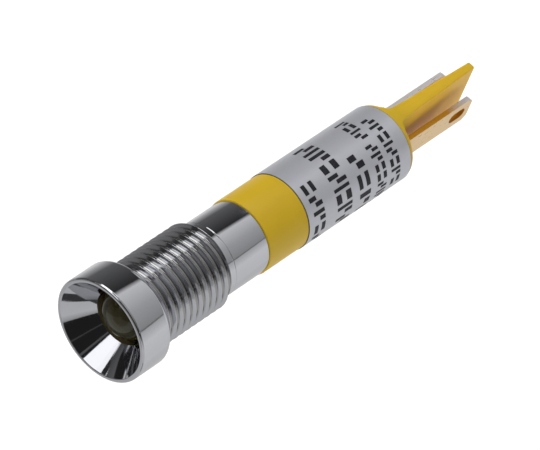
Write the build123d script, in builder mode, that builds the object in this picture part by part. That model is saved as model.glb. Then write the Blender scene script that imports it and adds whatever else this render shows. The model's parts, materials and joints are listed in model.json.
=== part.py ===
from build123d import *

import os
from math import sqrt

# Panel pilot light for an 8 mm hole: a chrome bush with a recessed LED, a moulded body and two flat tabs.
# Millimetres, +Z up. The lamp's axis is the Y axis: the head faces -Y and the tabs point to +Y.
# The origin is on the axis, in the plane of the seat behind the head, which bears on the panel.

# ---------------------------------------------------------------- driving dimensions

# Bezel bush
seat_width = 0.9             # how far the head overlaps the panel round the bush
head_length = 3.53
head_back_radius = 0.45
rim_width = 0.37
rim_edge_radius = 0.23
mouth_edge_chamfer = 0.08
reflector_depth = 2.4
thread_diameter = 8.0
thread_length = 8.5
bush_reach = 13.6            # from the seat to the rear end
barrel_wall = 0.5
barrel_end_chamfer = 0.1

# LED
led_recess = 1.4             # from the front rim to the tip of the dome
led_lens_diameter = 5.0
led_height = 8.6             # from the tip of the dome to the back of the flange
led_flange_diameter = 5.8
led_flange_thickness = 1.0
led_lens_clearance = 0.05
led_flange_clearance = 0.1
lead_pitch = 2.54
lead_size = 0.5
lead_free_length = 2.4       # from the flange to the board
chip_size = 0.3
chip_height = 0.2
chip_setback = 0.9           # from the centre of the dome to the mouth of the cup
cup_diameter = 1.1
cup_mouth_diameter = 0.9
cup_floor_diameter = 0.5
cup_depth = 0.4
cup_length = 0.9
anvil_length = 1.8
post_gap = 0.17              # between the anode's bonding post and the cathode's anvil
post_setback = 0.3           # from the mouth of the cup to the top of the post
bond_wire_diameter = 0.06
bond_wire_rise = 0.35

# Body
spigot_clearance = 0.03
spigot_wall = 0.47
body_step = 0.1              # the body stands proud of the barrel by this much
body_length = 18.6
body_front_chamfer = 0.12
body_back_radius = 0.4
rear_wall = 1.2
fin_height = 10.4
fin_root_thickness = 1.5
fin_tip_thickness = 0.72
fin_tip_width = 6.94
fin_root_radius = 0.55
fin_tip_radius = 0.15

# Tab terminals
tab_width = 2.8
tab_thickness = 0.5
tab_projection = 9.5
tab_span = 3.76              # over the outer faces of the two tabs
tab_corner_chamfer = 0.45
tab_eye_length = 2.0
tab_eye_width = 1.2
tab_eye_setback = 1.7
tab_slot_clearance = 0.05
tab_tail_width = 1.6
tab_tail_length = 2.6
tab_jog_length = 1.2

# Rating label
label_thickness = 0.06
label_front_margin = 4.85
label_back_margin = 0.5

# Circuit board, its solder and its components
board_thickness = 1.0
board_edge_gap = 0.25
board_slot_width = 0.9
board_slot_length = 2.0
solder_rise = 0.2
solder_chamfer = 0.15
solder_taper = 25
tail_solder_margin = 0.3
tail_solder_height = 0.3
component_gap = 0.6
diode_count = 4
diode_length = 1.7
diode_width = 1.25
diode_height = 0.9
diode_lead_width = 0.3
diode_lead_thickness = 0.15
diode_lead_reach = 0.4
resistor_diameter = 1.4
resistor_length = 3.6
resistor_cap_length = 0.7
resistor_cap_step = 0.08
capacitor_length = 3.2
capacitor_width = 1.6
capacitor_height = 1.2
capacitor_edge_radius = 0.12
potting_thickness = 1.8
potting_gap = 0.2

# ---------------------------------------------------------------- sizes and places that follow

thread_radius = thread_diameter / 2
head_radius = thread_radius + seat_width
mouth_radius = head_radius - rim_width
lens_radius = led_lens_diameter / 2
flange_radius = led_flange_diameter / 2
throat_radius = lens_radius + led_lens_clearance
socket_radius = flange_radius + led_flange_clearance
barrel_radius = socket_radius + barrel_wall
spigot_radius = socket_radius - spigot_clearance
bore_radius = spigot_radius - spigot_wall
body_radius = barrel_radius + body_step

rim_y = -head_length
throat_y = rim_y + reflector_depth
dome_tip_y = rim_y + led_recess
dome_centre_y = dome_tip_y + lens_radius
flange_back_y = dome_tip_y + led_height
flange_front_y = flange_back_y - led_flange_thickness
cup_mouth_y = dome_centre_y + chip_setback
cup_floor_y = cup_mouth_y + cup_depth
chip_face_y = cup_floor_y - chip_height
post_top_y = cup_mouth_y + post_setback
lead_z = lead_pitch / 2
lead_edge_z = lead_z + lead_size / 2

body_back_y = bush_reach + body_length
inner_wall_y = body_back_y - rear_wall
fin_tip_y = body_back_y + fin_height
tab_tip_y = body_back_y + tab_projection
potting_front_y = inner_wall_y - potting_thickness
jog_back_y = potting_front_y - potting_gap
jog_front_y = jog_back_y - tab_jog_length
tail_front_y = jog_front_y - tab_tail_length

board_face_x = board_thickness / 2
board_front_y = flange_back_y + lead_free_length
board_back_y = jog_front_y
board_length = board_back_y - board_front_y
board_width = 2 * (sqrt(bore_radius**2 - board_face_x**2) - board_edge_gap)
lead_end_y = board_front_y + board_slot_length
component_front_y = lead_end_y + component_gap
component_back_y = tail_front_y - tail_solder_margin - component_gap
component_length = component_back_y - component_front_y
component_centre_y = (component_front_y + component_back_y) / 2

os.makedirs("parts", exist_ok=True)

# ---------------------------------------------------------------- bezel bush
# One turned piece: the head with its conical reflector, the threaded length at its major diameter and the
# plain barrel. The LED fits its throat and the wider socket behind takes the LED's flange and the body.

rim_corner = (head_radius, rim_y)
mouth_corner = (mouth_radius, rim_y)
head_back_corner = (head_radius, 0)
barrel_end_corner = (barrel_radius, bush_reach)

with BuildPart() as bezel_bush:
    with BuildSketch(Plane.XY) as bush_section:
        with BuildLine():
            Polyline(
                (throat_radius, throat_y),
                mouth_corner,
                rim_corner,
                head_back_corner,
                (thread_radius, 0),
                (thread_radius, thread_length),
                (barrel_radius, thread_length),
                barrel_end_corner,
                (socket_radius, bush_reach),
                (socket_radius, flange_front_y),
                (throat_radius, flange_front_y),
                close=True,
            )
        make_face()
        fillet(bush_section.vertices().sort_by_distance(head_back_corner)[0], head_back_radius)
        fillet(bush_section.vertices().sort_by_distance(rim_corner)[0], rim_edge_radius)
        chamfer(bush_section.vertices().sort_by_distance(mouth_corner)[0], mouth_edge_chamfer)
        chamfer(bush_section.vertices().sort_by_distance(barrel_end_corner)[0], barrel_end_chamfer)
    revolve(axis=Axis.Y)

bezel_bush.part.label = "bezel_bush"
export_step(bezel_bush.part, "parts/bezel_bush.step")

# ---------------------------------------------------------------- tab terminals
# Each tab is a blanked strip: a narrow tail flat on the board, a jog outwards, and the blade with its eye.

tail_x = board_face_x + tab_thickness / 2
blade_x = tab_span / 2 - tab_thickness / 2
eye_y = tab_tip_y - tab_eye_setback

with BuildPart() as tab_terminal_right:
    with BuildSketch(Plane.XY):
        with BuildLine():
            Polyline(
                (tail_x, tail_front_y),
                (tail_x, jog_front_y),
                (blade_x, jog_back_y),
                (blade_x, tab_tip_y),
            )
        trace(line_width=tab_thickness)
    extrude(amount=tab_width / 2, both=True)
    with BuildSketch(Plane.YZ) as tab_blank:
        with Locations(((jog_back_y + tab_tip_y) / 2, 0)):
            Rectangle(tab_tip_y - jog_back_y, tab_width)
        chamfer(tab_blank.vertices().group_by(Axis.X)[-1], tab_corner_chamfer)
        with Locations(((tail_front_y + jog_back_y) / 2, 0)):
            Rectangle(jog_back_y - tail_front_y, tab_tail_width)
        with Locations((eye_y, 0)):
            SlotOverall(tab_eye_length, tab_eye_width, mode=Mode.SUBTRACT)
    extrude(amount=tab_span, both=True, mode=Mode.INTERSECT)

tab_terminal_right.part.label = "tab_terminal_right"
export_step(tab_terminal_right.part, "parts/tab_terminal_right.step")

with BuildPart() as tab_terminal_left:
    add(mirror(tab_terminal_right.part, about=Plane.YZ, mode=Mode.PRIVATE))

tab_terminal_left.part.label = "tab_terminal_left"
export_step(tab_terminal_left.part, "parts/tab_terminal_left.step")

# ---------------------------------------------------------------- body
# One moulding: the fin, flared into the end face and drawn to its tip inside a slightly tapered round
# outline, the tube with its front spigot and rear wall, and the two slots that the tabs pass through.

fin_root_half = fin_root_thickness / 2
fin_flare_half = fin_root_half + fin_root_radius
fin_tip_half = fin_tip_thickness / 2
fin_start_y = body_back_y - body_back_radius

with BuildPart() as body:
    with BuildSketch(Plane.XY) as fin_section:
        with BuildLine() as fin_side:
            tip = Line((0, fin_tip_y), (fin_tip_half, fin_tip_y))
            side = Line(tip @ 1, (fin_root_half, body_back_y + fin_root_radius))
            flare = RadiusArc(side @ 1, (fin_flare_half, body_back_y), fin_root_radius)
            Polyline(flare @ 1, (fin_flare_half, fin_start_y), (0, fin_start_y), tip @ 0)
        make_face()
        fillet(fin_section.vertices().sort_by_distance(tip @ 1)[0], fin_tip_radius)
        mirror(about=Plane.YZ)
    extrude(amount=body_radius, both=True)
    with BuildSketch(Plane.XY):
        with BuildLine():
            Polyline(
                (0, fin_start_y),
                (body_radius, fin_start_y),
                (body_radius, body_back_y),
                (fin_tip_width / 2, fin_tip_y),
                (0, fin_tip_y),
                close=True,
            )
        make_face()
    revolve(axis=Axis.Y, mode=Mode.INTERSECT)
    with BuildSketch(Plane.XY) as tube_section:
        with BuildLine():
            Polyline(
                (bore_radius, flange_back_y),
                (spigot_radius, flange_back_y),
                (spigot_radius, bush_reach),
                (body_radius, bush_reach),
                (body_radius, body_back_y),
                (0, body_back_y),
                (0, inner_wall_y),
                (bore_radius, inner_wall_y),
                close=True,
            )
        make_face()
        front_corner = tube_section.vertices().sort_by_distance((body_radius, bush_reach))[0]
        chamfer(front_corner, body_front_chamfer)
        back_corner = tube_section.vertices().sort_by_distance((body_radius, body_back_y))[0]
        fillet(back_corner, body_back_radius)
    revolve(axis=Axis.Y)
    with BuildSketch(Plane.XZ.offset(-jog_back_y)):
        with Locations((blade_x, 0), (-blade_x, 0)):
            Rectangle(tab_thickness + 2 * tab_slot_clearance, tab_width + 2 * tab_slot_clearance)
    extrude(amount=jog_back_y - tab_tip_y, mode=Mode.SUBTRACT)

body.part.label = "body"
export_step(body.part, "parts/body.step")

# ---------------------------------------------------------------- rating label
# A foil label wrapped once round the body.

with BuildPart() as rating_label:
    with BuildSketch(Plane.XZ.offset(-bush_reach - label_front_margin)):
        Circle(body_radius + label_thickness)
        Circle(body_radius, mode=Mode.SUBTRACT)
    extrude(amount=label_front_margin + label_back_margin - body_length)

rating_label.part.label = "rating_label"
export_step(rating_label.part, "parts/rating_label.step")

# ---------------------------------------------------------------- LED
# The cathode lead carries the anvil and the cup, the anode lead ends in the bonding post, and the epoxy
# lens is cast round both, with a flat on its flange at the cathode's side.

with BuildPart() as led_cathode_lead:
    with BuildSketch(Plane.XZ.offset(-lead_end_y)):
        with Locations((0, -lead_z)):
            Rectangle(lead_size, lead_size)
    extrude(amount=lead_end_y - cup_mouth_y - cup_length)
    with BuildSketch(Plane.YZ):
        with Locations((cup_mouth_y + cup_length, cup_diameter / 2)):
            Rectangle(anvil_length, cup_diameter / 2 + lead_edge_z, align=(Align.MIN, Align.MAX))
    extrude(amount=lead_size / 2, both=True)
    with BuildSketch(Plane.XZ.offset(-cup_mouth_y)):
        Circle(cup_diameter / 2)
    extrude(amount=-cup_length)
    with BuildSketch(Plane.XZ.offset(-cup_mouth_y)):
        Circle(cup_mouth_diameter / 2)
    with BuildSketch(Plane.XZ.offset(-cup_floor_y)):
        Circle(cup_floor_diameter / 2)
    loft(mode=Mode.SUBTRACT)

led_cathode_lead.part.label = "led_cathode_lead"
export_step(led_cathode_lead.part, "parts/led_cathode_lead.step")

with BuildPart() as led_anode_lead:
    with BuildSketch(Plane.XZ.offset(-lead_end_y)):
        with Locations((0, lead_z)):
            Rectangle(lead_size, lead_size)
    extrude(amount=lead_end_y - post_top_y)
    with BuildSketch(Plane.YZ):
        with Locations((post_top_y, lead_edge_z)):
            Rectangle(
                anvil_length, lead_edge_z - cup_diameter / 2 - post_gap, align=(Align.MIN, Align.MAX)
            )
    extrude(amount=lead_size / 2, both=True)

led_anode_lead.part.label = "led_anode_lead"
export_step(led_anode_lead.part, "parts/led_anode_lead.step")

with BuildPart() as led_chip:
    with BuildSketch(Plane.XZ.offset(-cup_floor_y)):
        Rectangle(chip_size, chip_size)
    extrude(amount=chip_height)

led_chip.part.label = "led_chip"
export_step(led_chip.part, "parts/led_chip.step")

with BuildPart() as led_bond_wire:
    with BuildLine(Plane.YZ) as wire_path:
        ThreePointArc(
            (chip_face_y, 0), (cup_mouth_y - bond_wire_rise, lead_z / 2), (post_top_y, lead_z)
        )
    with BuildSketch(Plane(wire_path.line @ 0, z_dir=wire_path.line % 0)):
        RegularPolygon(bond_wire_diameter / 2, side_count=6)
    sweep()

led_bond_wire.part.label = "led_bond_wire"
export_step(led_bond_wire.part, "parts/led_bond_wire.step")

with BuildPart() as led_lens:
    with BuildSketch(Plane.XY):
        with BuildLine():
            dome = CenterArc((0, dome_centre_y), lens_radius, 270, 90)
            Polyline(
                dome @ 1,
                (lens_radius, flange_front_y),
                (flange_radius, flange_front_y),
                (flange_radius, flange_back_y),
                (0, flange_back_y),
                dome @ 0,
            )
        make_face()
    revolve(axis=Axis.Y)
    with BuildSketch(Plane.XZ.offset(-flange_back_y)):
        with Locations((0, -lens_radius)):
            Rectangle(led_flange_diameter, flange_radius, align=(Align.CENTER, Align.MAX))
    extrude(amount=led_flange_thickness, mode=Mode.SUBTRACT)
    for buried_piece in (led_cathode_lead, led_anode_lead, led_chip, led_bond_wire):
        add(buried_piece.part, mode=Mode.SUBTRACT)

led_lens.part.label = "led_lens"
export_step(led_lens.part, "parts/led_lens.step")

# ---------------------------------------------------------------- circuit board
# A narrow board on the axis. Two slots in its front edge take the LED's leads.

with BuildPart() as circuit_board:
    with BuildSketch(Plane.YZ):
        with Locations((board_front_y, 0)):
            Rectangle(board_length, board_width, align=(Align.MIN, Align.CENTER))
        with Locations((board_front_y, lead_z), (board_front_y, -lead_z)):
            Rectangle(
                board_slot_length, board_slot_width, align=(Align.MIN, Align.CENTER), mode=Mode.SUBTRACT
            )
    extrude(amount=board_face_x, both=True)

circuit_board.part.label = "circuit_board"
export_step(circuit_board.part, "parts/circuit_board.step")

# ---------------------------------------------------------------- solder joints
# Pillows that fill the board's slots round the LED's leads, and pools round the tails of the tabs.

with BuildPart() as led_solder_joints:
    with BuildSketch(Plane.YZ):
        with Locations((board_front_y, lead_z), (board_front_y, -lead_z)):
            Rectangle(board_slot_length, board_slot_width, align=(Align.MIN, Align.CENTER))
    extrude(amount=board_face_x + solder_rise, both=True)
    chamfer(led_solder_joints.faces().filter_by(Axis.X).edges(), solder_chamfer)
    add(led_cathode_lead.part, mode=Mode.SUBTRACT)
    add(led_anode_lead.part, mode=Mode.SUBTRACT)

led_solder_joints.part.label = "led_solder_joints"
export_step(led_solder_joints.part, "parts/led_solder_joints.step")

with BuildPart() as terminal_solder_joints:
    with BuildSketch(Plane.YZ.offset(board_face_x)):
        with Locations((jog_front_y, 0)):
            Rectangle(
                tab_tail_length + tail_solder_margin,
                tab_tail_width + 2 * tail_solder_margin,
                align=(Align.MAX, Align.CENTER),
            )
    extrude(amount=tail_solder_height, taper=solder_taper)
    mirror(about=Plane.YZ)
    add(tab_terminal_right.part, mode=Mode.SUBTRACT)
    add(tab_terminal_left.part, mode=Mode.SUBTRACT)

terminal_solder_joints.part.label = "terminal_solder_joints"
export_step(terminal_solder_joints.part, "parts/terminal_solder_joints.step")

# ---------------------------------------------------------------- components
# The resistor and the capacitor share one face of the board, and the bridge's diodes have the other.

resistor_x = board_face_x + resistor_diameter / 2
resistor_y = component_centre_y - component_length / 4
resistor_cap_shift = (resistor_length - resistor_cap_length) / 2

with BuildPart() as dropper_resistor:
    with BuildSketch(Plane.XY):
        with Locations((resistor_x, resistor_y)):
            Rectangle(
                resistor_diameter / 2 - resistor_cap_step,
                resistor_length,
                align=(Align.MIN, Align.CENTER),
            )
        with Locations(
            (resistor_x, resistor_y - resistor_cap_shift), (resistor_x, resistor_y + resistor_cap_shift)
        ):
            Rectangle(resistor_diameter / 2, resistor_cap_length, align=(Align.MIN, Align.CENTER))
    revolve(axis=Axis((resistor_x, resistor_y, 0), (0, 1, 0)))

dropper_resistor.part.label = "dropper_resistor"
export_step(dropper_resistor.part, "parts/dropper_resistor.step")

with BuildPart() as smoothing_capacitor:
    with BuildSketch(Plane.YZ.offset(board_face_x)):
        with Locations((component_centre_y + component_length / 4, 0)):
            Rectangle(capacitor_length, capacitor_width)
    extrude(amount=capacitor_height)
    fillet(smoothing_capacitor.edges().filter_by(Axis.Y), capacitor_edge_radius)

smoothing_capacitor.part.label = "smoothing_capacitor"
export_step(smoothing_capacitor.part, "parts/smoothing_capacitor.step")

diode_pitch = component_length / diode_count

for index in range(diode_count):
    diode_y = component_front_y + (index + 0.5) * diode_pitch
    with BuildPart() as diode:
        with BuildSketch(Plane.YZ.offset(-board_face_x)):
            with Locations((diode_y, 0)):
                Rectangle(diode_length, diode_width)
        extrude(amount=-diode_height)
        with BuildSketch(Plane.YZ.offset(-board_face_x)):
            with Locations((diode_y, 0)):
                Rectangle(diode_length + 2 * diode_lead_reach, diode_lead_width)
        extrude(amount=-diode_lead_thickness)
    diode.part.label = f"rectifier_diode_{index + 1}"
    export_step(diode.part, f"parts/rectifier_diode_{index + 1}.step")

# ---------------------------------------------------------------- potting resin
# A plug against the rear wall that seals the slots and holds the tabs.

with BuildPart() as potting_resin:
    with BuildSketch(Plane.XZ.offset(-inner_wall_y)):
        Circle(bore_radius)
    extrude(amount=potting_thickness)
    add(tab_terminal_right.part, mode=Mode.SUBTRACT)
    add(tab_terminal_left.part, mode=Mode.SUBTRACT)

potting_resin.part.label = "potting_resin"
export_step(potting_resin.part, "parts/potting_resin.step")
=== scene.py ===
import json
from math import asin, atan2, cos, pi, radians, sin, sqrt, tan

import bmesh
import bpy
from mathutils import Matrix, Vector


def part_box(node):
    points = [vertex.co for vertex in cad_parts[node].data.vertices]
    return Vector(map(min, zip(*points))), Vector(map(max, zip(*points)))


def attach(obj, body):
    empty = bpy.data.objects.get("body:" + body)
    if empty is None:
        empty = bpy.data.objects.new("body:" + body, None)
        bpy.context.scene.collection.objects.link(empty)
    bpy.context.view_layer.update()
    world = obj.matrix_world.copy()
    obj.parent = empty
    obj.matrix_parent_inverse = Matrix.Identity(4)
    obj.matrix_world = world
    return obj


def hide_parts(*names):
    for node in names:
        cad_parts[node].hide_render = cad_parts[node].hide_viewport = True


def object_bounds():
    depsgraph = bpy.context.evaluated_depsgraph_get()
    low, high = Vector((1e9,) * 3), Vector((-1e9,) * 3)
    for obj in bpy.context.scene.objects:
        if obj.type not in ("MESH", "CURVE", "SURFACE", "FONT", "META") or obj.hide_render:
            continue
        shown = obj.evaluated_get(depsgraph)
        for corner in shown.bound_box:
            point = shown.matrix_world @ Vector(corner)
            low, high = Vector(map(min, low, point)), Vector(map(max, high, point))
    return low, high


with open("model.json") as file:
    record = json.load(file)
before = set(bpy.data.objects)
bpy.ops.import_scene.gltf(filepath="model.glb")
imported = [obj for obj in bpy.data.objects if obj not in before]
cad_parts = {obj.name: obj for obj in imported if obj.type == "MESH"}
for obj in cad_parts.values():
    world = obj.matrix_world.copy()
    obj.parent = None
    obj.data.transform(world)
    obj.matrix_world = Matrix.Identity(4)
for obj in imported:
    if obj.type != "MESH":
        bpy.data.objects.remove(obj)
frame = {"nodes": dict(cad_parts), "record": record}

# Panel pilot light: the looks. The lamp's axis is Y, the head faces -Y and the tabs point to +Y.
# Sizes are in millimetres until a mesh is made.

cad_low, cad_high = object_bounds()
MM = 0.001
MICRON = 1e-6
WELD = 1e-7              # metres within which two points are one
X, Y, Z = 0, 1, 2
scene = bpy.context.scene


def extent(node, axis):
    """The lowest and highest place of a CAD node along an axis."""
    low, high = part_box(node)
    return low[axis] / MM, high[axis] / MM


# ---------------------------------------------------------------- sizes that the frame gives
rim_y, bush_end_y = extent("bezel_bush", Y)
head_radius = extent("bezel_bush", X)[1]
spigot_front_y, fin_tip_y = extent("body", Y)
body_radius = extent("body", Z)[1]
label_front_y, label_back_y = extent("rating_label", Y)
label_radius = extent("rating_label", X)[1]
dome_tip_y, flange_back_y = extent("led_lens", Y)
flange_radius = extent("led_lens", X)[1]
flange_flat_z = extent("led_lens", Z)[0]
tab_tip_y = extent("tab_terminal_right", Y)[1]
tab_tail_y = extent("tab_terminal_right", Y)[0]
tab_half_width = extent("tab_terminal_right", Z)[1]
tab_tail_x, tab_outer_x = extent("tab_terminal_right", X)

# ---------------------------------------------------------------- sizes of the bush
# thread_pitch was read on the photograph at the scale where thread_radius is 4.0.
rim_width = 0.37
rim_edge_radius = 0.23
mouth_edge_radius = 0.17
reflector_depth = 2.4
throat_radius = 2.55
throat_edge_radius = 0.04
seat_corner_radius = 0.08
socket_radius = 3.0
flange_thickness = 1.0
head_back_radius = 0.45
barrel_radius = 3.5
barrel_end_chamfer = 0.1
thread_radius = 4.0
thread_length = 8.5
thread_pitch = 0.79
thread_depth = 0.41
thread_relief = 0.16
thread_run_in = 1.1      # how steeply the first turn rises out of the relief
crest_width = 0.04
crest_edge_radius = 0.03
root_radius = 0.22
scratch_setback = 0.95   # of the line turned round the barrel, behind the thread
scratch_half = 0.05
scratch_depth = 0.02
scratch_margin = 0.02

# ---------------------------------------------------------------- sizes of the body
body_front_chamfer = 0.12
body_back_y = label_back_y + 0.5
body_back_radius = 0.4
spigot_radius = 2.97
bore_radius = 2.5
rear_wall = 1.2
fin_root_thickness = 1.5
fin_tip_thickness = 0.72
fin_tip_width = 6.94
fin_root_radius = 0.55
fin_edge_radius = 0.13
fin_tip_radius = 0.15

# ---------------------------------------------------------------- sizes of the tabs
tab_thickness = 0.5
tab_corner_chamfer = 0.45
tab_edge_radius = 0.05
tab_eye_length = 2.0
tab_eye_width = 1.2
tab_eye_setback = 1.7
tab_tail_width = 1.6
tab_jog_front_y = 27.8
tab_jog_back_y = 29.0
tab_eye_points = 24

# ---------------------------------------------------------------- sizes of the LED and the label
lens_radius = 2.5
lens_front_lap = 1.0     # how far before its flange the lens's side starts as a separate ring
flange_fillet = 0.1
flange_edge_radius = 0.08
flange_centre_radius = 1.0
label_thickness = 0.06
label_edge_radius = 0.02
label_front_edge = 0.07  # the widths of the painted shade bands along the cut edges
label_back_edge = 0.04

# ---------------------------------------------------------------- camera
camera_azimuth = 25.887
camera_elevation = 48.599
camera_roll = 23.18
camera_distance = 454.3
camera_target = Vector((0.52, 17.07, -0.2))
camera_lens = 357.05
sensor_width = 36


def ahead(azimuth, elevation):
    """A direction from the lamp: azimuth 0 is the side of the head, 90 the side of +X."""
    a, e = radians(azimuth), radians(elevation)
    return Vector((sin(a) * cos(e), -cos(a) * cos(e), sin(e)))


def around(turn, tilt):
    """A direction from the lamp: turn goes about its axis from +Z towards +X, tilt leans to the tabs."""
    a, t = radians(turn), radians(tilt)
    return Vector((sin(a) * cos(t), sin(t), cos(a) * cos(t)))


def make_camera():
    data = bpy.data.cameras.new("camera")
    data.lens = camera_lens
    data.sensor_width = sensor_width
    data.clip_start, data.clip_end = 0.01, 20
    camera = bpy.data.objects.new("camera", data)
    scene.collection.objects.link(camera)
    back = ahead(camera_azimuth, camera_elevation)
    roll = Matrix.Rotation(radians(camera_roll), 3, "Z")
    camera.rotation_mode = "QUATERNION"
    camera.rotation_quaternion = ((-back).to_track_quat("-Z", "Y").to_matrix() @ roll).to_quaternion()
    camera.location = (camera_target + back * camera_distance) * MM
    scene.camera = camera


# ---------------------------------------------------------------- nodes
def add(tree, kind, inputs=None, **settings):
    """A new node. Each input takes a constant or another node's socket."""
    node = tree.nodes.new(kind)
    for name, value in settings.items():
        setattr(node, name, value)
    for key, value in (inputs or {}).items():
        if isinstance(value, bpy.types.NodeSocket):
            tree.links.new(value, node.inputs[key])
        else:
            node.inputs[key].default_value = value
    return node


def linear(red, green, blue):
    """An 8-bit sRGB colour as the linear RGBA that a shader takes."""
    part = [c / 255 for c in (red, green, blue)]
    return (*[p / 12.92 if p <= 0.04045 else ((p + 0.055) / 1.055) ** 2.4 for p in part], 1)


def math_node(tree, operation, first, second=0.0):
    return add(tree, "ShaderNodeMath", {0: first, 1: second}, operation=operation).outputs[0]


def noise(tree, vector, scale, detail=2.0, roughness=0.5):
    inputs = {"Vector": vector, "Scale": scale, "Detail": detail, "Roughness": roughness}
    return add(tree, "ShaderNodeTexNoise", inputs).outputs[0]


def line_noise(tree, along, scale, detail):
    """Noise that changes along one coordinate only."""
    inputs = {"W": along, "Scale": scale, "Detail": detail}
    return add(tree, "ShaderNodeTexNoise", inputs, noise_dimensions="1D").outputs[0]


def spread(tree, value, low, high, new_low, new_high):
    """Value mapped from low..high to new_low..new_high, and held there."""
    keys = ("Value", "From Min", "From Max", "To Min", "To Max")
    return add(tree, "ShaderNodeMapRange", dict(zip(keys, (value, low, high, new_low, new_high)))).outputs[0]


def mix_colour(tree, share, first, second):
    node = add(tree, "ShaderNodeMix", {0: share, 6: first, 7: second}, data_type="RGBA")
    return node.outputs[2]


def millimetres(tree):
    """The place on the lamp, in millimetres."""
    place = add(tree, "ShaderNodeTexCoord").outputs["Object"]
    return add(tree, "ShaderNodeVectorMath", {0: place, "Scale": 1 / MM}, operation="SCALE").outputs[0]


def stretched(tree, place, factors):
    return add(tree, "ShaderNodeVectorMath", {0: place, 1: factors}, operation="MULTIPLY").outputs[0]


def parts_of(tree, vector):
    """The x, y and z of a vector."""
    return add(tree, "ShaderNodeSeparateXYZ", {0: vector}).outputs


def off_axis(tree, place):
    """The distance from the lamp's axis."""
    flat = stretched(tree, place, (1, 0, 1))
    return add(tree, "ShaderNodeVectorMath", {0: flat}, operation="LENGTH").outputs["Value"]


def bump(tree, height, depth_in_microns, normal=None):
    """A normal for heights from 0 to 1 that stand for so many microns."""
    inputs = {"Height": height, "Distance": depth_in_microns * MICRON}
    if normal is not None:
        inputs["Normal"] = normal
    return add(tree, "ShaderNodeBump", inputs).outputs[0]


def new_material(name, roughness, metallic=0.0, **constants):
    material = bpy.data.materials.new(name)
    material.use_nodes = True
    tree = material.node_tree
    shader = tree.nodes["Principled BSDF"]
    shader.inputs["Roughness"].default_value = roughness
    shader.inputs["Metallic"].default_value = metallic
    for key, value in constants.items():
        shader.inputs[key.replace("_", " ")].default_value = value
    return material, tree, shader


def connect(tree, shader, **sockets):
    for key, socket in sockets.items():
        tree.links.new(socket, shader.inputs[key.replace("_", " ")])


# ---------------------------------------------------------------- materials
def turned_coordinate(tree, place):
    """A coordinate that runs along a turned surface, over its cylinders, its cone and its flat faces."""
    outwards = math_node(tree, "MULTIPLY", off_axis(tree, place), 0.9)
    return math_node(tree, "SUBTRACT", parts_of(tree, place)[Y], outwards)


def chrome_plate():
    """Chrome over turned brass: mirror bright, with faint lathe lines; duller on the thread, and painted
    shade darkening the thread's roots.
    """
    material, tree, shader = new_material("chrome_plate", 0.06, 1.0)
    place = millimetres(tree)
    lines = line_noise(tree, turned_coordinate(tree, place), 5.0, 3.0)
    cloud = noise(tree, place, 0.55, 3.0)
    along = parts_of(tree, place)[Y]
    past_head = spread(tree, along, 0.1, 0.3, 0, 1)
    before_end = spread(tree, along, thread_length - 0.05, thread_length + 0.05, 1, 0)
    on_thread = math_node(tree, "MULTIPLY", past_head, before_end)
    dullness = math_node(tree, "MULTIPLY", on_thread, 0.045)
    polish = spread(tree, cloud, 0.35, 0.65, 0.05, 0.09)
    # Painted shade: the base colour turns dark grey in the thread's roots, where shade falls.
    in_root = spread(tree, off_axis(tree, place), thread_radius - 0.32, thread_radius - 0.2, 1, 0)
    in_root = math_node(tree, "MULTIPLY", in_root, on_thread)
    root_shade = math_node(tree, "MULTIPLY", in_root, 0.6)
    plate = mix_colour(tree, cloud, (0.49, 0.495, 0.52, 1), (0.52, 0.525, 0.55, 1))
    connect(
        tree,
        shader,
        Base_Color=mix_colour(tree, root_shade, plate, (0.24, 0.23, 0.22, 1)),
        Roughness=math_node(tree, "ADD", polish, dullness),
        Normal=bump(tree, noise(tree, place, 1.3, 2.0), 1.2, bump(tree, lines, 0.8)),
    )
    return material


def yellow_plastic():
    """Moulded, with a fine grain and a slow ripple in the sheen; the fin's flat sides are paler, which is
    painted light.
    """
    material, tree, shader = new_material("yellow_plastic", 0.38, Specular_IOR_Level=0.3)
    place = millimetres(tree)
    cloud = noise(tree, place, 0.5, 3.0)
    grain = noise(tree, place, 9.0, 3.0, 0.6)
    normal = add(tree, "ShaderNodeNewGeometry").outputs["Normal"]
    sideways = math_node(tree, "ABSOLUTE", parts_of(tree, normal)[X])
    on_fin = spread(tree, parts_of(tree, place)[Y], body_back_y + 0.6, body_back_y + 2.6, 0, 1)
    # Painted light: the fin's flat sides, shaded by the tabs and the body's end, are made paler.
    fin_side_light = math_node(tree, "MULTIPLY", spread(tree, sideways, 0.6, 0.95, 0, 1), on_fin)
    round_part = mix_colour(tree, cloud, linear(200, 164, 8), linear(206, 170, 14))
    moulded = mix_colour(tree, on_fin, round_part, linear(214, 173, 12))
    connect(
        tree,
        shader,
        Base_Color=mix_colour(tree, fin_side_light, moulded, linear(230, 180, 34)),
        Roughness=spread(tree, grain, 0.3, 0.7, 0.34, 0.44),
        Normal=bump(tree, grain, 1.6, bump(tree, cloud, 12)),
    )
    return material


def label_foil():
    """Silver polyester film: a soft metallic grey with a fine fleck."""
    material, tree, shader = new_material("label_foil", 0.36, 0.5)
    place = millimetres(tree)
    fleck = noise(tree, place, 14.0, 2.0, 0.7)
    cloud = noise(tree, place, 0.7, 3.0)
    connect(
        tree,
        shader,
        Base_Color=mix_colour(tree, fleck, (0.46, 0.465, 0.50, 1), (0.52, 0.525, 0.565, 1)),
        Roughness=spread(tree, fleck, 0.3, 0.7, 0.33, 0.41),
        Normal=bump(tree, fleck, 0.9, bump(tree, cloud, 14)),
    )
    return material


def label_ink():
    """Black thermal-transfer ink, a little patchy where the ribbon pressed lightly."""
    material, tree, shader = new_material("label_ink", 0.5, Specular_IOR_Level=0.25)
    patch = noise(tree, millimetres(tree), 6.0, 3.0, 0.6)
    share = spread(tree, patch, 0.35, 0.75, 0, 1)
    connect(tree, shader, Base_Color=mix_colour(tree, share, linear(16, 16, 22), linear(40, 40, 48)))
    return material


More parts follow.
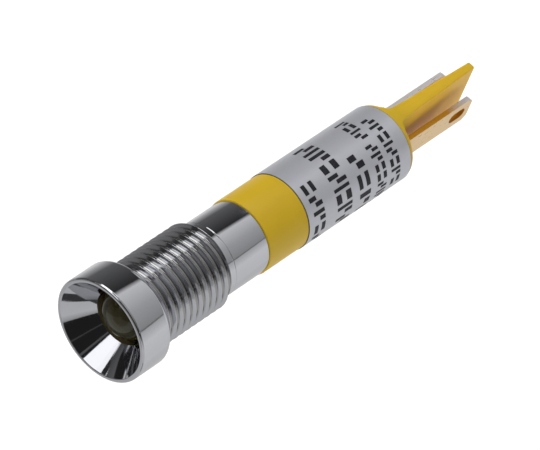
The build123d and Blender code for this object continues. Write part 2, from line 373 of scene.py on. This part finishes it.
def label_edge_shade():
    """The film's cut edge, darkened with painted shade in a patchy dark grey."""
    material, tree, shader = new_material("label_edge_shade", 0.6)
    patch = noise(tree, millimetres(tree), 4.0, 2.0)
    connect(tree, shader, Base_Color=mix_colour(tree, patch, linear(52, 50, 54), linear(84, 80, 80)))
    return material


def tab_plate():
    """Tinned brass strip: warm on its rolled faces and paler round the blanked edges.

    The brown on a long edge and in the eyes stands for the fin's reflection in the photograph.
    """
    material, tree, shader = new_material("tab_plate", 0.3, 0.6)
    place = millimetres(tree)
    grain = noise(tree, stretched(tree, place, (1, 0.12, 1)), 9.0, 3.0, 0.6)
    normal = add(tree, "ShaderNodeNewGeometry").outputs["Normal"]
    x, y, z = parts_of(tree, place)
    right = spread(tree, x, 0, 1, 0, 1)
    near_body = spread(tree, y, tab_tip_y - 3.4, tab_tip_y - 0.8, 1, 0)
    height = math_node(tree, "ABSOLUTE", z)
    in_eye = spread(tree, height, tab_half_width - 0.6, tab_half_width - 0.4, 1, 0)
    before_tip = spread(tree, y, tab_tip_y - 0.6, tab_tip_y - 0.4, 1, 0)
    # Painted reflection: brown on the right tab's long edge near the body and on the walls of the eyes, for
    # the yellow fin seen in them.
    long_edge = math_node(tree, "MULTIPLY", right, near_body)
    fin_reflection = math_node(tree, "MAXIMUM", long_edge, math_node(tree, "MULTIPLY", in_eye, before_tip))
    edge = mix_colour(tree, fin_reflection, linear(206, 204, 208), linear(190, 132, 8))
    face = spread(tree, math_node(tree, "ABSOLUTE", parts_of(tree, normal)[X]), 0.5, 0.9, 0, 1)
    colour = mix_colour(tree, face, edge, linear(232, 200, 148))
    worn = spread(tree, grain, 0.4, 0.8, 0, 0.08)
    connect(
        tree,
        shader,
        Base_Color=mix_colour(tree, worn, colour, linear(190, 168, 130)),
        Roughness=spread(tree, grain, 0.3, 0.7, 0.26, 0.38),
    )
    return material


def lens_epoxy():
    """Tinted epoxy: dark olive in front, and paler at its sides as painted light."""
    material, tree, shader = new_material("lens_epoxy", 0.12)
    place = millimetres(tree)
    haze = noise(tree, place, 1.2, 3.0)
    # Painted light: the lens turns pale towards its sides, for light scattered out through them.
    side = spread(tree, off_axis(tree, place), 2.1, 2.48, 0, 1)
    front = mix_colour(tree, haze, linear(38, 36, 8), linear(52, 47, 20))
    connect(
        tree,
        shader,
        Base_Color=mix_colour(tree, side, front, linear(178, 160, 112)),
        Roughness=spread(tree, haze, 0.3, 0.7, 0.1, 0.16),
    )
    return material


def simple_finish(name, light, dark, roughness, metallic, scale, microns):
    """A mottled finish for a piece inside the lamp."""
    material, tree, shader = new_material(name, roughness, metallic)
    grain = noise(tree, millimetres(tree), scale, 3.0, 0.6)
    connect(
        tree,
        shader,
        Base_Color=mix_colour(tree, grain, dark, light),
        Roughness=spread(tree, grain, 0.3, 0.7, 0.85 * roughness, min(1, 1.15 * roughness)),
        Normal=bump(tree, grain, microns),
    )
    return material


def board_laminate():
    """Green solder resist over woven glass."""
    material, tree, shader = new_material("board_laminate", 0.32)
    place = millimetres(tree)
    glass_waves = {"Vector": place, "Scale": 1.6}
    warp = add(tree, "ShaderNodeTexWave", glass_waves, bands_direction="Y").outputs[1]
    weft = add(tree, "ShaderNodeTexWave", glass_waves, bands_direction="Z").outputs[1]
    weave = math_node(tree, "MULTIPLY", warp, weft)
    connect(
        tree,
        shader,
        Base_Color=mix_colour(tree, weave, linear(22, 84, 42), linear(40, 112, 58)),
        Normal=bump(tree, weave, 2),
    )
    return material


materials = {
    "chrome_plate": chrome_plate(),
    "yellow_plastic": yellow_plastic(),
    "label_foil": label_foil(),
    "tab_plate": tab_plate(),
    "lens_epoxy": lens_epoxy(),
    "board_laminate": board_laminate(),
}
hidden_finishes = [
    # slot, light and dark colour, roughness, metallic, scale of the mottling, its height in microns
    ("lead_metal", (206, 204, 198), (180, 178, 172), 0.28, 1.0, 4.0, 1.5),
    ("chip_crystal", (120, 116, 80), (92, 90, 60), 0.25, 0.0, 20, 1.5),
    ("wire_gold", (236, 196, 96), (216, 170, 74), 0.2, 1.0, 20, 1.5),
    ("resistor_ceramic", (96, 136, 176), (78, 116, 158), 0.35, 0.0, 4.0, 1.5),
    ("capacitor_ceramic", (196, 164, 128), (172, 140, 104), 0.45, 0.0, 4.0, 1.5),
    ("diode_moulding", (44, 44, 46), (30, 30, 32), 0.5, 0.0, 8, 1.5),
    ("solder", (206, 208, 210), (176, 178, 182), 0.3, 1.0, 4.0, 4),
    ("resin", (40, 38, 38), (26, 25, 26), 0.3, 0.0, 1.5, 6),
]
for slot, light, dark, *numbers in hidden_finishes:
    materials[slot] = simple_finish(slot, linear(*light), linear(*dark), *numbers)
ink, edge = label_ink(), label_edge_shade()


# ---------------------------------------------------------------- mesh tools
def rounded(corners, steps=4):
    """A run of (x, y) points. A corner given as (x, y, radius) becomes an arc of that radius."""
    points = []
    for i, corner in enumerate(corners):
        here = Vector(corner[:2])
        if len(corner) == 2:
            points.append(here)
            continue
        before = (Vector(corners[i - 1][:2]) - here).normalized()
        after = (Vector(corners[(i + 1) % len(corners)][:2]) - here).normalized()
        half = before.angle(after) / 2
        reach = corner[2] / tan(half)
        centre = here + (before + after).normalized() * (corner[2] / sin(half))
        start, end = here + before * reach - centre, here + after * reach - centre
        turn = start.angle_signed(end)
        for k in range(steps + 1):
            angle = -turn * k / steps
            points.append(centre + Matrix.Rotation(angle, 2) @ start)
    return points


sharp_angle = radians(40)


def piece(name, verts, faces, slot, replaced, extra_materials=(), face_material=None):
    """A mesh from points in millimetres, smooth but for its sharp corners, riding on the lamp.

    face_material gives the number of a face's material from its centre: 0 is the slot's own.
    """
    mesh = bpy.data.meshes.new(name)
    mesh.from_pydata([Vector(v) * MM for v in verts], [], faces)
    work = bmesh.new()
    work.from_mesh(mesh)
    bmesh.ops.remove_doubles(work, verts=work.verts, dist=WELD)
    bmesh.ops.dissolve_degenerate(work, edges=work.edges, dist=1e-8)
    bmesh.ops.recalc_face_normals(work, faces=work.faces)
    work.to_mesh(mesh)
    work.free()
    mesh.materials.append(materials[slot])
    for material in extra_materials:
        mesh.materials.append(material)
    made = bpy.data.objects.new(name, mesh)
    scene.collection.objects.link(made)
    if face_material:
        for polygon in mesh.polygons:
            polygon.material_index = face_material(polygon.center / MM)
    mesh.shade_smooth()
    mesh.set_sharp_from_angle(angle=sharp_angle)
    weighted = made.modifiers.new("weighted", "WEIGHTED_NORMAL")
    weighted.keep_sharp = True
    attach(made, "root")
    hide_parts(*replaced)
    return made


def strip_faces(rows, columns, first=0, closed=True):
    """Quads between rows of points that lie one after another."""
    faces = []
    for r in range(rows - 1):
        for c in range(columns if closed else columns - 1):
            a, b = first + r * columns, first + (r + 1) * columns
            d = (c + 1) % columns
            faces.append((a + c, a + d, b + d, b + c))
    return faces


def ring(radius, y, columns):
    """Points round the lamp's axis, from +Z towards +X."""
    angles = [2 * pi * c / columns for c in range(columns)]
    return [(radius * sin(a), y, radius * cos(a)) for a in angles]


def lathe(profile, columns):
    """Rings of points for a profile of (radius, y) pairs."""
    return [ring(radius, y, columns) for radius, y in profile]


# ---------------------------------------------------------------- bezel bush
bush_columns = 192
spare_turns = 2          # turns that start before the relief or end past the thread, and are cut off there


def thread_turn():
    """One pitch of the thread as (y, radius), from a root to the next: 60 degree flanks, rounded ends."""
    low, high = thread_radius - thread_depth, thread_radius
    crest_half = crest_width / 2
    flank = thread_depth * tan(radians(30))
    corners = [
        (-thread_pitch / 2, low),
        (-crest_half - flank, low, root_radius),
        (-crest_half, high, crest_edge_radius),
        (crest_half, high, crest_edge_radius),
        (crest_half + flank, low, root_radius),
        (thread_pitch / 2, low),
    ]
    return rounded(corners, 5)


def radius_in_turn(turn, offset):
    """The thread's radius so far along its pitch."""
    for (y0, r0), (y1, r1) in zip(turn, turn[1:]):
        if y0 <= offset <= y1 and y1 > y0:
            return r0 + (r1 - r0) * (offset - y0) / (y1 - y0)
    return turn[0][1]


def thread_rings():
    """Rows along the helix from the relief behind the head, cut off square where the thread ends."""
    turn = thread_turn()
    low = thread_radius - thread_depth
    crest_count = round(thread_length / thread_pitch)
    first_crest_y = thread_length - (crest_count - 1) * thread_pitch
    ends = []
    for c in range(bush_columns):
        offset = thread_length - first_crest_y - c / bush_columns * thread_pitch + thread_pitch / 2
        ends.append(radius_in_turn(turn, offset % thread_pitch - thread_pitch / 2))
    rows = []
    for t in range(-spare_turns, crest_count + spare_turns):
        for offset, radius in turn[:-1]:
            row = []
            for c in range(bush_columns):
                y = first_crest_y + (t + c / bush_columns) * thread_pitch + offset
                r = min(radius, max(low, low + (y - thread_relief) * thread_run_in))
                if y > thread_length:
                    y, r = thread_length, ends[c]
                angle = 2 * pi * c / bush_columns
                row.append((r * sin(angle), max(y, thread_relief), r * cos(angle)))
            rows.append(row)
    return rows, len(turn) - 1


def make_bush():
    throat_y = rim_y + reflector_depth
    mouth_radius = head_radius - rim_width
    low = thread_radius - thread_depth
    front = rounded(
        [
            (socket_radius, bush_end_y),
            (socket_radius, flange_back_y - flange_thickness),
            (throat_radius, flange_back_y - flange_thickness),
            (throat_radius, throat_y, throat_edge_radius),
            (mouth_radius, rim_y, mouth_edge_radius),
            (head_radius, rim_y, rim_edge_radius),
            (head_radius, 0, head_back_radius),
            (low, 0, seat_corner_radius),
            (low, thread_relief),
        ],
        6,
    )
    scratch_y = thread_length + scratch_setback
    rear = rounded(
        [
            (low, thread_length),
            (barrel_radius, thread_length),
            (barrel_radius, scratch_y - scratch_half - scratch_margin),
            (barrel_radius, scratch_y - scratch_half),
            (barrel_radius - scratch_depth, scratch_y),
            (barrel_radius, scratch_y + scratch_half),
            (barrel_radius, scratch_y + scratch_half + scratch_margin),
            (barrel_radius, bush_end_y, barrel_end_chamfer),
            (socket_radius, bush_end_y),
        ],
        4,
    )
    helix, per_turn = thread_rings()
    verts, faces = [], []
    for rings in (lathe(front, bush_columns), lathe(rear, bush_columns)):
        faces += strip_faces(len(rings), bush_columns, len(verts))
        verts += [point for row in rings for point in row]
    first = len(verts)
    verts += [point for row in helix for point in row]
    last = bush_columns - 1
    faces += strip_faces(len(helix), bush_columns, first, closed=False)
    for r in range(len(helix) - per_turn - 1):
        a, b = first + r * bush_columns, first + (r + 1) * bush_columns
        lift = per_turn * bush_columns
        faces.append((a + last, a + lift, b + lift, b + last))
    verts += ring(low, thread_length, bush_columns)
    faces += strip_faces(2, bush_columns, len(verts) - 2 * bush_columns)
    piece("bezel_bush_turned", verts, faces, "chrome_plate", ["bezel_bush"])


# ---------------------------------------------------------------- body
arc_columns, corner_columns, side_columns = 14, 6, 56


def fin_half_thickness(y):
    """Half the fin's thickness: it flares into the end face and thins to the tip."""
    root, tip = fin_root_thickness / 2, fin_tip_thickness / 2
    rise = y - body_back_y
    if rise < fin_root_radius:
        side = max(fin_root_radius - rise, 0)
        return root + fin_root_radius - sqrt(max(fin_root_radius**2 - side**2, 0))
    share = (rise - fin_root_radius) / (fin_tip_y - body_back_y - fin_root_radius)
    return root + (tip - root) * share


def fin_outline_radius(y):
    share = max(y - body_back_y, 0) / (fin_tip_y - body_back_y)
    return body_radius + (fin_tip_width / 2 - body_radius) * share


def quarter(half, radius, corner):
    """A quarter of the fin's section, from the middle of its round edge to the middle of its flat side."""
    centre_x = half - corner
    centre_z = sqrt((radius - corner) ** 2 - centre_x**2)
    lean = atan2(centre_x, centre_z)
    points = []
    for k in range(arc_columns // 2):
        angle = lean * k / (arc_columns // 2)
        points.append((radius * sin(angle), radius * cos(angle)))
    for k in range(corner_columns):
        angle = lean + (pi / 2 - lean) * k / corner_columns
        points.append((centre_x + corner * sin(angle), centre_z + corner * cos(angle)))
    for k in range(side_columns // 2 + 1):
        points.append((half, centre_z * cos(pi / 2 * k / (side_columns // 2))))
    return points


def whole(part):
    """The closed section from its quarter: clockwise from +Z."""
    lower = [(x, -z) for x, z in reversed(part[:-1])]
    right = part + lower
    left = [(-x, z) for x, z in reversed(right[1:-1])]
    return right + left


def make_body():
    """The housing with its fin, in one skin: a quarter of each section is made, and mirrored twice."""
    flare_half = fin_half_thickness(body_back_y)
    edge_lean = asin(flare_half / body_radius)
    # The columns of the fin's round edge stand close together, and the rest are even.
    edge_count, rest = arc_columns // 2 + corner_columns, side_columns // 2
    angles = [edge_lean * k / edge_count for k in range(edge_count)]
    angles += [edge_lean + (pi / 2 - edge_lean) * k / rest for k in range(rest + 1)]

    def round_section(radius, y):
        part = [(radius * sin(a), radius * cos(a)) for a in angles]
        return [(x, y, z) for x, z in whole(part)]

    barrel = [
        (bore_radius, body_back_y - rear_wall),
        (bore_radius, spigot_front_y),
        (spigot_radius, spigot_front_y),
        (spigot_radius, bush_end_y),
        (body_radius, bush_end_y, body_front_chamfer),
        (body_radius, label_front_y),
        (body_radius, label_back_y),
    ]
    rows = [round_section(r, y) for r, y in rounded(barrel, 4)]

    def end_row(share_rim, share_flare):
        """A row over the rounded rim and up the flare; at the fin's edges both shrink to nothing."""
        part = []
        for k, a in enumerate(angles):
            x, z = body_radius * sin(a), body_radius * cos(a)
            room = x - flare_half
            if k < edge_count or room <= 0:
                lift = fin_root_radius * share_flare
                y = body_back_y - body_back_radius * (1 - share_rim) + lift
                half = fin_half_thickness(y)
                radius = fin_outline_radius(y)
                angle = asin(half / radius) * a / edge_lean
                part.append((radius * sin(angle), y, radius * cos(angle)))
                continue
            rim = min(body_back_radius, room)
            turn = share_rim * pi / 2
            if share_flare == 0:
                inset = rim * (1 - cos(turn))
                y = body_back_y - body_back_radius + (body_back_radius - rim) + rim * sin(turn)
                if share_rim == 0:
                    y = body_back_y - body_back_radius
                part.append((x - inset, y, z))
            else:
                y = body_back_y + fin_root_radius * share_flare
                part.append((fin_half_thickness(y), y, z * fin_outline_radius(y) / body_radius))
        lower = [(x, y, -z) for x, y, z in reversed(part[:-1])]
        right = part + lower
        return right + [(-x, y, z) for x, y, z in reversed(right[1:-1])]

    rim_steps, flare_steps = 6, 7
    rows += [end_row(k / rim_steps, 0) for k in range(rim_steps + 1)]
    flare_shares = [1 - sin(pi / 2 * (1 - k / flare_steps)) for k in range(flare_steps + 1)]
    rows += [end_row(1, share) for share in flare_shares[1:]]

    def fin_row(y, inset, corner):
        half = fin_half_thickness(min(y, fin_tip_y)) - inset
        return [(x, y, z) for x, z in whole(quarter(half, fin_outline_radius(y) - inset, corner))]

    straight_y = body_back_y + fin_root_radius
    fin_steps, tip_steps = 16, 4
    first_corner, corner_growth = 0.15, 4    # the corners start small in the flare and grow to their radius
    least_corner, corner_loss = 0.03, 0.5    # and shrink again as the tip rounds off
    last_y = fin_tip_y - fin_tip_radius
    for k in range(1, fin_steps + 1):
        share = k / fin_steps
        corner = fin_edge_radius * min(1, first_corner + share * corner_growth)
        rows.append(fin_row(straight_y + (last_y - straight_y) * share, 0, corner))
    for k in range(1, tip_steps + 1):
        turn = pi / 2 * k / tip_steps
        inset = fin_tip_radius * (1 - cos(turn))
        corner = max(fin_edge_radius - inset * corner_loss, least_corner)
        rows.append(fin_row(last_y + fin_tip_radius * sin(turn), inset, corner))

    columns = len(rows[0])
    verts = [point for row in rows for point in row]
    faces = strip_faces(len(rows), columns)
    top = len(verts) - columns
    half = columns // 2
    for c in range(1, half - 1):
        faces.append((top + c, top + c + 1, top + columns - c - 1, top + columns - c))
    faces.append((top, top + 1, top + columns - 1))
    faces.append((top + half, top + half + 1, top + half - 1))
    verts.append((0, body_back_y - rear_wall, 0))
    centre = len(verts) - 1
    for c in range(columns):
        faces.append((c, centre, (c + 1) % columns))
    piece("body_moulding", verts, faces, "yellow_plastic", ["body"])


# ---------------------------------------------------------------- rating label
# The printed rows stand for the real label's lines of type. They are broken blocks and spell nothing.
label_columns = 192
print_lift = 0.008
print_sink = 0.01
print_step = radians(3)
mark_gap = 0.28
mark_shapes = {
    # mark: width, blocks as shares of the width and of the row's height: from, to, from, to
    " ": (0.3, []),
    "|": (0.3, [(0, 1, 0, 1)]),
    "=": (0.85, [(0, 1, 0, 0.34), (0, 1, 0.66, 1)]),
    "%": (0.85, [(0, 0.42, 0, 0.62), (0.58, 1, 0.38, 1)]),
    "i": (0.9, [(0, 0.36, 0, 1), (0.58, 1, 0.5, 1)]),
}
print_rows = [
    # front y, height, first turn in degrees, scale of the marks along the row, marks
    (19.20, 1.35, 10, 1.15, "=%i=%"),
    (22.10, 1.90, -45, 1.05, "%|i=%|=i%"),
    (25.00, 1.40, 13, 1.6, "%=i|"),
    (27.30, 1.20, -43, 0.8, "i=|% %i==%|i="),
    (29.10, 1.15, -20, 0.85, "%i=|%=i="),
]


def make_label():
    inner = label_radius - label_thickness
    corners = [
        (inner, label_front_y),
        (label_radius, label_front_y, label_edge_radius),
        (label_radius, label_front_y + label_front_edge),
        (label_radius, label_back_y - label_back_edge),
        (label_radius, label_back_y, label_edge_radius),
        (inner, label_back_y),
        (inner, label_front_y),
    ]
    rings = lathe(rounded(corners, 2), label_columns)
    verts = [point for row in rings for point in row]
    faces = strip_faces(len(rings), label_columns)

    # The bands at the front and back edges take the painted shade.
    def which(centre):
        at_front = centre.y < label_front_y + label_front_edge
        at_back = centre.y > label_back_y - label_back_edge
        return 1 if at_front or at_back else 0

    piece("rating_label_film", verts, faces, "label_foil", ["rating_label"], [edge], which)


def add_mark(verts, faces, start, width, low_y, high_y):
    """One bar of ink, as a thin raised patch that follows the label from an angle on."""
    reach = width / label_radius
    steps = max(2, int(reach / print_step) + 1)
    base = len(verts)
    for k in range(steps + 1):
        angle = start + reach * k / steps
        for radius, y in (
            (label_radius - print_sink, low_y),
            (label_radius + print_lift, low_y),
            (label_radius + print_lift, high_y),
            (label_radius - print_sink, high_y),
        ):
            verts.append((radius * sin(angle), y, radius * cos(angle)))
    faces += strip_faces(steps + 1, 4, base)
    faces.append((base, base + 1, base + 2, base + 3))
    end = base + 4 * steps
    faces.append((end + 3, end + 2, end + 1, end))


def make_print():
    verts, faces = [], []
    for front_y, height, first_turn, scale, pattern in print_rows:
        start = radians(first_turn) * label_radius
        for mark in pattern:
            width, blocks = mark_shapes[mark]
            for left, right, front, back in blocks:
                angle = (start + left * width * scale) / label_radius
                block_width = (right - left) * width * scale
                low_y, high_y = front_y + front * height, front_y + back * height
                add_mark(verts, faces, angle, block_width, low_y, high_y)
            start += (width + mark_gap) * scale
    made = piece("rating_label_print", verts, faces, "label_foil", [])
    made.data.materials.clear()
    made.data.materials.append(ink)


# ---------------------------------------------------------------- LED
def make_lens():
    dome_centre_y = dome_tip_y + lens_radius
    flange_front_y = flange_back_y - flange_thickness
    columns, dome_steps = 160, 32
    dome = []
    for k in range(1, dome_steps + 1):
        angle = pi / 2 * k / dome_steps
        dome.append((lens_radius * sin(angle), dome_centre_y - lens_radius * cos(angle)))
    barrel = rounded(
        [
            (lens_radius, flange_front_y - lens_front_lap),
            (lens_radius, flange_front_y, flange_fillet),
            (flange_radius, flange_front_y, flange_edge_radius),
            (flange_radius, flange_back_y, flange_edge_radius),
            (flange_centre_radius, flange_back_y),
        ],
        3,
    )
    rings = lathe(dome + barrel, columns)
    verts = [(x, y, max(z, flange_flat_z)) for row in rings for x, y, z in row]
    faces = strip_faces(len(rings), columns)
    tip, back = len(verts), len(verts) + 1
    verts += [(0, dome_tip_y, 0), (0, flange_back_y, 0)]
    last = (len(rings) - 1) * columns
    for c in range(columns):
        d = (c + 1) % columns
        faces.append((tip, c, d))
        faces.append((last + c, back, last + d))
    piece("led_lens_cast", verts, faces, "lens_epoxy", ["led_lens"])


# ---------------------------------------------------------------- tab terminals
def make_tab(name, node, side):
    """A blanked and jogged strip with an eye, its edges a little rounded by the blanking."""
    inset = tab_edge_radius
    outline = [
        (tab_tail_y, tab_tail_width / 2),
        (tab_jog_back_y, tab_tail_width / 2),
        (tab_jog_back_y, tab_half_width),
        (tab_tip_y - tab_corner_chamfer, tab_half_width),
        (tab_tip_y, tab_half_width - tab_corner_chamfer),
    ]
    outline += [(y, -z) for y, z in reversed(outline)]
    eye_y = tab_tip_y - tab_eye_setback
    eye_end = (tab_eye_length - tab_eye_width) / 2
    eye = []
    for k in range(tab_eye_points):
        angle = 2 * pi * (k + 0.5) / tab_eye_points
        shift = eye_end if cos(angle) > 0 else -eye_end
        eye.append((eye_y + shift + tab_eye_width / 2 * cos(angle), tab_eye_width / 2 * sin(angle)))
    data = bpy.data.curves.new(name, "CURVE")
    data.dimensions = "2D"
    data.fill_mode = "BOTH"
    data.extrude = (tab_thickness / 2 - inset) * MM
    data.bevel_depth = inset * MM
    data.bevel_resolution = 2
    data.offset = -inset * MM
    for loop in (outline, eye):
        spline = data.splines.new("POLY")
        spline.points.add(len(loop) - 1)
        spline.use_cyclic_u = True
        for point, (y, z) in zip(spline.points, loop):
            point.co = (y * MM, z * MM, 0, 1)
    flat = bpy.data.objects.new(name, data)
    scene.collection.objects.link(flat)
    mesh = bpy.data.meshes.new_from_object(flat)
    bpy.data.objects.remove(flat)
    work = bmesh.new()
    work.from_mesh(mesh)
    bmesh.ops.remove_doubles(work, verts=work.verts, dist=WELD)
    for y in (tab_jog_front_y, tab_jog_back_y):
        cut = {"plane_co": (y * MM, 0, 0), "plane_no": (1, 0, 0), "dist": WELD}
        bmesh.ops.bisect_plane(work, geom=work.verts[:] + work.edges[:] + work.faces[:], **cut)
    tail_x = tab_tail_x + tab_thickness / 2
    blade_x = tab_outer_x - tab_thickness / 2
    verts = []
    for v in work.verts:
        y, z, depth = v.co / MM
        share = min(max((y - tab_jog_front_y) / (tab_jog_back_y - tab_jog_front_y), 0), 1)
        verts.append((side * (depth + tail_x + (blade_x - tail_x) * share), y, z))
    faces = [[v.index for v in f.verts] for f in work.faces]
    work.free()
    piece(name, verts, faces, "tab_plate", [node])


# ---------------------------------------------------------------- studio
# Distances here are in metres, but for floor_drop.
world_white = 1.0
world_fill = 0.42
key_power = 6.3
key_distance = 1.0
key_size = 0.7
key_turn = -28
floor_half = 3.0
floor_drop = 34
floor_glow = 0.7
floor_lift = 0.95
floor_paint = 0.42
card_distance = 1.6
card_step = 3            # degrees


def seen_directly(tree):
    """1 for camera, glossy and transmission rays, 0 for the rays that light the lamp."""
    path = add(tree, "ShaderNodeLightPath")
    seen = math_node(tree, "MAXIMUM", path.outputs["Is Camera Ray"], path.outputs["Is Glossy Ray"])
    return math_node(tree, "MAXIMUM", seen, path.outputs["Is Transmission Ray"])


def make_world():
    world = bpy.data.worlds.new("studio")
    scene.world = world
    world.use_nodes = True
    tree = world.node_tree
    background = tree.nodes["Background"]
    background.inputs["Color"].default_value = (1, 1, 1, 1)
    strength = spread(tree, seen_directly(tree), 0, 1, world_fill, world_white)
    tree.links.new(strength, background.inputs["Strength"])


def make_floor():
    """A pale floor below the lamp: it glows, takes the lamp's shadow, and is clear from underneath."""
    mesh = bpy.data.meshes.new("floor")
    z = cad_low.z - floor_drop * MM
    corners = [(-1, -1), (1, -1), (1, 1), (-1, 1)]
    mesh.from_pydata([(x * floor_half, y * floor_half, z) for x, y in corners], [], [(0, 1, 2, 3)])
    material = bpy.data.materials.new("floor_paper")
    material.use_nodes = True
    tree = material.node_tree
    tree.nodes.clear()
    paint = add(tree, "ShaderNodeBsdfDiffuse", {"Color": (floor_paint, floor_paint, floor_paint, 1)})
    glow = add(tree, "ShaderNodeEmission")
    strength = spread(tree, seen_directly(tree), 0, 1, floor_lift, floor_glow)
    tree.links.new(strength, glow.inputs["Strength"])
    both = add(tree, "ShaderNodeAddShader", {0: paint.outputs[0], 1: glow.outputs[0]})
    below = add(tree, "ShaderNodeNewGeometry").outputs["Backfacing"]
    clear = add(tree, "ShaderNodeBsdfTransparent").outputs[0]
    one_sided = add(tree, "ShaderNodeMixShader", {0: below, 1: both.outputs[0], 2: clear})
    output = add(tree, "ShaderNodeOutputMaterial")
    tree.links.new(one_sided.outputs[0], output.inputs["Surface"])
    mesh.materials.append(material)
    floor = bpy.data.objects.new("floor", mesh)
    floor.visible_glossy = False
    scene.collection.objects.link(floor)


def make_key():
    """One large soft lamp above the lamp's upper left side. It isn't seen in the chrome."""
    data = bpy.data.lights.new("key", "AREA")
    data.shape = "SQUARE"
    data.size = key_size
    data.energy = key_power
    key = bpy.data.objects.new("key", data)
    scene.collection.objects.link(key)
    towards = around(key_turn, 0)
    key.rotation_mode = "QUATERNION"
    key.rotation_quaternion = (-towards).to_track_quat("-Z", "Y")
    key.location = camera_target * MM + towards * key_distance
    key.visible_glossy = False
    key.visible_camera = False


def card_material():
    material = bpy.data.materials.new("studio_card")
    material.use_nodes = True
    tree = material.node_tree
    tree.nodes.clear()
    level = add(tree, "ShaderNodeAttribute", attribute_name="level").outputs["Fac"]
    glow = add(tree, "ShaderNodeEmission", {"Strength": level})
    output = add(tree, "ShaderNodeOutputMaterial")
    tree.links.new(glow.outputs[0], output.inputs["Surface"])
    return material


def make_card(name, turns, tilts, levels, material, nearer):
    """A curved card for the chrome to reflect, from one level of brightness to another across its turns."""
    u_steps = max(2, int((turns[1] - turns[0]) / card_step) + 1)
    v_steps = int((tilts[1] - tilts[0]) / card_step) + 1
    verts, brightness = [], []
    for i in range(u_steps + 1):
        share = i / u_steps
        for j in range(v_steps + 1):
            tilt = tilts[0] + (tilts[1] - tilts[0]) * j / v_steps
            verts.append(around(turns[0] + (turns[1] - turns[0]) * share, tilt) * (card_distance - nearer))
            brightness.append(levels[0] + (levels[1] - levels[0]) * share)
    mesh = bpy.data.meshes.new(name)
    mesh.from_pydata(verts, [], strip_faces(u_steps + 1, v_steps + 1, 0, closed=False))
    mesh.attributes.new("level", "FLOAT", "POINT").data.foreach_set("value", brightness)
    mesh.materials.append(material)
    card = bpy.data.objects.new(name, mesh)
    scene.collection.objects.link(card)
    card.visible_camera = False
    card.visible_diffuse = False
    card.visible_transmission = False
    card.visible_shadow = False


# The cards were placed and dimmed until the chrome looked like the photograph's from its one angle.
# They aren't a record of the real studio.
cards = [
    # name, turns about the lamp's axis, tilts, brightness at each turn, how much nearer than the walls
    ("flag_soft_edge", (-128, -94), (-24, 84), (0.75, 0.22), 0.0),
    ("flag", (-94, -25), (-24, 84), (0.18, 0.04), 0.0),
    ("overhead_panel_edge", (-25, -16), (-24, 84), (0.08, 0.88), 0.0),
    ("overhead_panel", (-16, 26), (-24, 84), (0.90, 0.56), 0.0),
    ("overhead_panel_end", (26, 64), (-24, 84), (0.56, 0.40), 0.0),
    ("panel_seam", (64, 67), (-24, 84), (0.22, 0.22), 0.0),
    ("side_wall", (67, 90), (-24, 84), (0.62, 0.92), 0.0),
    ("table_side", (90, 140), (-24, 84), (0.94, 0.82), 0.0),
    ("table_under", (140, 180), (-24, 84), (0.78, 0.62), 0.0),
    ("table_far_side", (180, 232), (-24, 84), (0.64, 0.78), 0.0),
    ("panel_front_gap", (-30, -8), (-28, 13), (0.14, 0.14), 0.1),
    ("panel_front", (-8, 18), (-28, 13), (0.50, 0.56), 0.1),
    ("panel_front_end", (18, 62), (-28, 13), (0.50, 0.08), 0.1),
    ("side_wall_front", (66, 88), (-28, 13), (0.05, 0.50), 0.1),
    ("table_front_edge", (85, 98), (-60, 13), (0.45, 0.72), 0.1),
    ("table_front", (98, 165), (-60, 13), (0.75, 0.66), 0.1),
    ("table_front_end", (165, 232), (-60, 13), (0.64, 0.60), 0.1),
    ("low_flag", (-128, -63), (-60, -4), (0.33, 0.08), 0.1),
    ("low_flag_dark", (-107, -80), (-21, -5), (0.02, 0.02), 0.12),
    ("low_flag_shade", (-88, -48), (-60, -29), (0.04, 0.03), 0.12),
    ("low_flag_strip", (-73, -70.5), (-46, -29), (1.3, 1.3), 0.15),
    ("low_flag_line", (-111, -108.5), (-13, -5), (0.9, 0.9), 0.15),
    ("front_flag", (-11, 85), (-60, -25), (0.02, 0.02), 0.15),
    ("front_flag_line", (38, 40.5), (-60, -28), (0.10, 0.10), 0.2),
    ("front_flag_faint_line", (-3, 3), (-60, -28), (0.13, 0.13), 0.2),
    ("low_card_end", (127, 147), (-21, -8), (0.06, 0.06), 0.2),
    ("crest_card", (-56, -30), (47, 66), (0.85, 0.85), 0.1),
    ("panel_groove", (-4, 50), (13, 22), (0.2, 0.06), 0.1),
    ("softbox_upper", (-51, -12), (11, 22), (2.3, 2.3), 0.1),
    ("softbox_corner", (-60, -48), (-41, -28), (1.75, 1.75), 0.2),
    ("softbox_front", (-48, -11), (-49, -28), (1.85, 1.85), 0.2),
    ("softbox", (-51, -25), (-28, 13), (2.40, 2.40), 0.2),
    ("far_flag", (-128, 92), (-88, -57), (0.16, 0.12), 0.25),
    ("far_table", (92, 232), (-88, -57), (0.40, 0.30), 0.25),
]


def make_cards():
    material = card_material()
    for name, turns, tilts, levels, nearer in cards:
        make_card(name, turns, tilts, levels, material, nearer)


# ---------------------------------------------------------------- the lamp and its studio
make_camera()
make_world()
make_floor()
make_key()
make_cards()
make_bush()
make_body()
make_label()
make_print()
make_lens()
make_tab("tab_right", "tab_terminal_right", 1)
make_tab("tab_left", "tab_terminal_left", -1)

slot_of = {part["node"]: part["material_slot"] for part in frame["record"]["subparts"]}
for node, part in frame["nodes"].items():
    part.data.materials.clear()
    part.data.materials.append(materials[slot_of[node]])

scene.view_settings.view_transform = "Standard"
